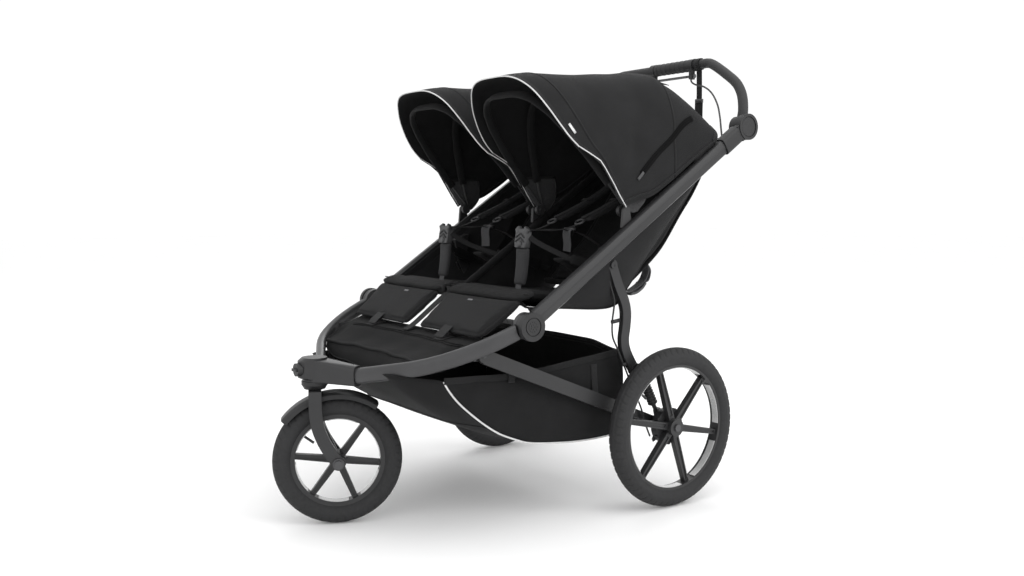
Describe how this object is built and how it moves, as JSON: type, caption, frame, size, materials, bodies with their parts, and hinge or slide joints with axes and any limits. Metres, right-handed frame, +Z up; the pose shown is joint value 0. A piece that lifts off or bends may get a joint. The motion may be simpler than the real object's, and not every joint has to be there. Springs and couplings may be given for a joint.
{
  "type": "jogging stroller",
  "caption": "Double three-wheel jogging stroller with folding frame, twin canopies and seats, cargo basket, swivel front wheel and tilting handlebar.",
  "frame": {"origin": "on the floor, at the centre of the stroller's footprint box", "axes": "+X to the stroller's left, -Y forwards, +Z up"},
  "size_m": [0.7902, 1.1934, 1.136],
  "materials": {
    "frame": "satin powder coat",
    "front_tubes": "satin powder coat",
    "moulding": "matt moulded plastic",
    "rim": "satin moulded plastic",
    "tyre": "dull rubber",
    "reflective": "reflective tape",
    "steel": "zinc plated",
    "fabric": "woven",
    "seat_fabric": "woven",
    "webbing": "ribbed webbing",
    "grey_webbing": "ribbed webbing",
    "grip": "grained sleeve",
    "cable": "smooth",
    "buckle": "matt"
  },
  "bodies": {
    "front_frame": {"front_tube_left": "front_tubes", "front_tube_right": "front_tubes", "front_head": "frame", "head_collar": "moulding", "fold_hubs": "moulding", "footwell": "fabric"},
    "lock_knob": {"swivel_lock_knob": "moulding"},
    "fork": {"fork": "frame", "fender": "moulding", "front_axle": "steel"},
    "front_wheel": {"front_rim": "rim", "front_tyre": "tyre", "front_reflectors": "reflective"},
    "upper_frame": {"upper_tube_left": "frame", "upper_tube_right": "frame", "handle_hubs": "moulding", "leg_brackets": "frame", "cross_tube": "frame", "seat_pan_left": "seat_fabric", "seat_pan_right": "seat_fabric", "leg_pad_left": "fabric", "leg_pad_right": "fabric", "side_wall_left": "seat_fabric", "side_wall_right": "seat_fabric", "centre_divider": "seat_fabric", "back_cover": "fabric", "buckles": "buckle", "crotch_pads": "webbing", "recline_straps": "grey_webbing"},
    "seat_back_left": {"seat_back_left": "seat_fabric", "harness_left": "webbing"},
    "seat_back_right": {"seat_back_right": "seat_fabric", "harness_right": "webbing"},
    "canopy_left": {"canopy_left": "fabric", "canopy_bows_left": "moulding"},
    "canopy_right": {"canopy_right": "fabric", "canopy_bows_right": "moulding"},
    "handlebar": {"handlebar": "grip", "brake_collar": "moulding", "brake_cable_upper": "cable"},
    "brake_grip": {"brake_grip": "grip"},
    "release_bar": {"release_bar": "steel"},
    "wrist_strap": {"wrist_strap": "webbing"},
    "lower_frame": {"lower_tube_left": "frame", "lower_tube_right": "frame", "rear_axle": "frame", "brake_drums": "moulding", "basket": "fabric"},
    "brake_arms": {"brake_arms": "steel"},
    "rear_legs": {"rear_legs": "frame", "suspension_bellows": "cable", "brake_cable_lower": "cable"},
    "rear_wheel_left": {"rear_rim_left": "rim", "rear_tyre_left": "tyre", "rear_reflectors_left": "reflective"},
    "rear_wheel_right": {"rear_rim_right": "rim", "rear_tyre_right": "tyre", "rear_reflectors_right": "reflective"},
    "hub_button_left": {"hub_button_left": "steel"},
    "hub_button_right": {"hub_button_right": "steel"}
  },
  "joints": [
    {"name": "fold", "type": "hinge", "parent": "front_frame", "child": "upper_frame", "pos_m": [0, -0.16329, 0.473], "axis": [1, 0, 0], "range_deg": [0, 90], "deforming": ["footwell", "basket", "brake_cable_lower", "recline_straps"]},
    {"name": "lower_frame_fold", "type": "hinge", "parent": "front_frame", "child": "lower_frame", "pos_m": [0, -0.25229, 0.409], "axis": [1, 0, 0], "range_deg": [0, 63]},
    {"name": "rear_leg_fold", "type": "hinge", "parent": "lower_frame", "child": "rear_legs", "pos_m": [0, 0.26771, 0.1955], "axis": [1, 0, 0], "range_deg": [0, 12.6]},
    {"name": "handlebar_tilt", "type": "hinge", "parent": "upper_frame", "child": "handlebar", "pos_m": [0, 0.51771, 0.933], "axis": [1, 0, 0], "range_deg": [-120, 15], "deforming": ["brake_cable_upper"]},
    {"name": "brake_twist", "type": "hinge", "parent": "handlebar", "child": "brake_grip", "pos_m": [0, 0.57971, 1.119], "axis": [1, 0, 0], "range_deg": [0, 60], "stiffness_Nm_per_rad": 0.4},
    {"name": "brake_arm_turn", "type": "hinge", "parent": "lower_frame", "child": "brake_arms", "pos_m": [0, 0.26771, 0.1955], "axis": [1, 0, 0], "range_deg": [0, 18]},
    {"name": "release_squeeze", "type": "slide", "parent": "handlebar", "child": "release_bar", "axis": [0, 0, 1], "range_m": [0, 0.005], "stiffness_N_per_m": 800},
    {"name": "wrist_strap_swing", "type": "hinge", "parent": "handlebar", "child": "wrist_strap", "pos_m": [0, 0.57971, 1.119], "axis": [1, 0, 0], "range_deg": [-8, 60]},
    {"name": "fork_swivel", "type": "hinge", "parent": "front_frame", "child": "fork", "pos_m": [0, -0.50429, 0.35], "axis": [0, 0, 1], "continuous": true},
    {"name": "swivel_lock", "type": "hinge", "parent": "front_frame", "child": "lock_knob", "pos_m": [0, -0.55229, 0.364], "axis": [0, -1, 0], "range_deg": [0, 90]},
    {"name": "front_wheel_spin", "type": "hinge", "parent": "fork", "child": "front_wheel", "pos_m": [0.02034, -0.45861, 0.149], "axis": [0.9135, -0.4067, 0], "continuous": true},
    {"name": "rear_wheel_spin_left", "type": "hinge", "parent": "lower_frame", "child": "rear_wheel_left", "pos_m": [0.3716, 0.26771, 0.1955], "axis": [1, 0, 0], "continuous": true},
    {"name": "rear_wheel_spin_right", "type": "hinge", "parent": "lower_frame", "child": "rear_wheel_right", "pos_m": [-0.3716, 0.26771, 0.1955], "axis": [1, 0, 0], "continuous": true},
    {"name": "hub_release_left", "type": "slide", "parent": "rear_wheel_left", "child": "hub_button_left", "axis": [-1, 0, 0], "range_m": [0, 0.003], "stiffness_N_per_m": 1500},
    {"name": "hub_release_right", "type": "slide", "parent": "rear_wheel_right", "child": "hub_button_right", "axis": [1, 0, 0], "range_m": [0, 0.003], "stiffness_N_per_m": 1500},
    {"name": "canopy_fold_left", "type": "hinge", "parent": "upper_frame", "child": "canopy_left", "pos_m": [0, 0.12571, 0.723], "axis": [1, 0, 0], "range_deg": [-60, 0], "deforming": ["canopy_left"]},
    {"name": "canopy_fold_right", "type": "hinge", "parent": "upper_frame", "child": "canopy_right", "pos_m": [0, 0.12571, 0.723], "axis": [1, 0, 0], "range_deg": [-60, 0], "deforming": ["canopy_right"]},
    {"name": "recline_left", "type": "hinge", "parent": "upper_frame", "child": "seat_back_left", "pos_m": [0, 0.15371, 0.537], "axis": [1, 0, 0], "range_deg": [-22, 0], "deforming": ["recline_straps"]},
    {"name": "recline_right", "type": "hinge", "parent": "upper_frame", "child": "seat_back_right", "pos_m": [0, 0.15371, 0.537], "axis": [1, 0, 0], "range_deg": [-22, 0], "deforming": ["recline_straps"]}
  ],
  "couplings": [
    {"joint": "lower_frame_fold", "follows": "fold", "ratio": 0.7},
    {"joint": "rear_leg_fold", "follows": "fold", "ratio": 0.14},
    {"joint": "brake_arm_turn", "follows": "brake_twist", "ratio": 0.3}
  ]
}
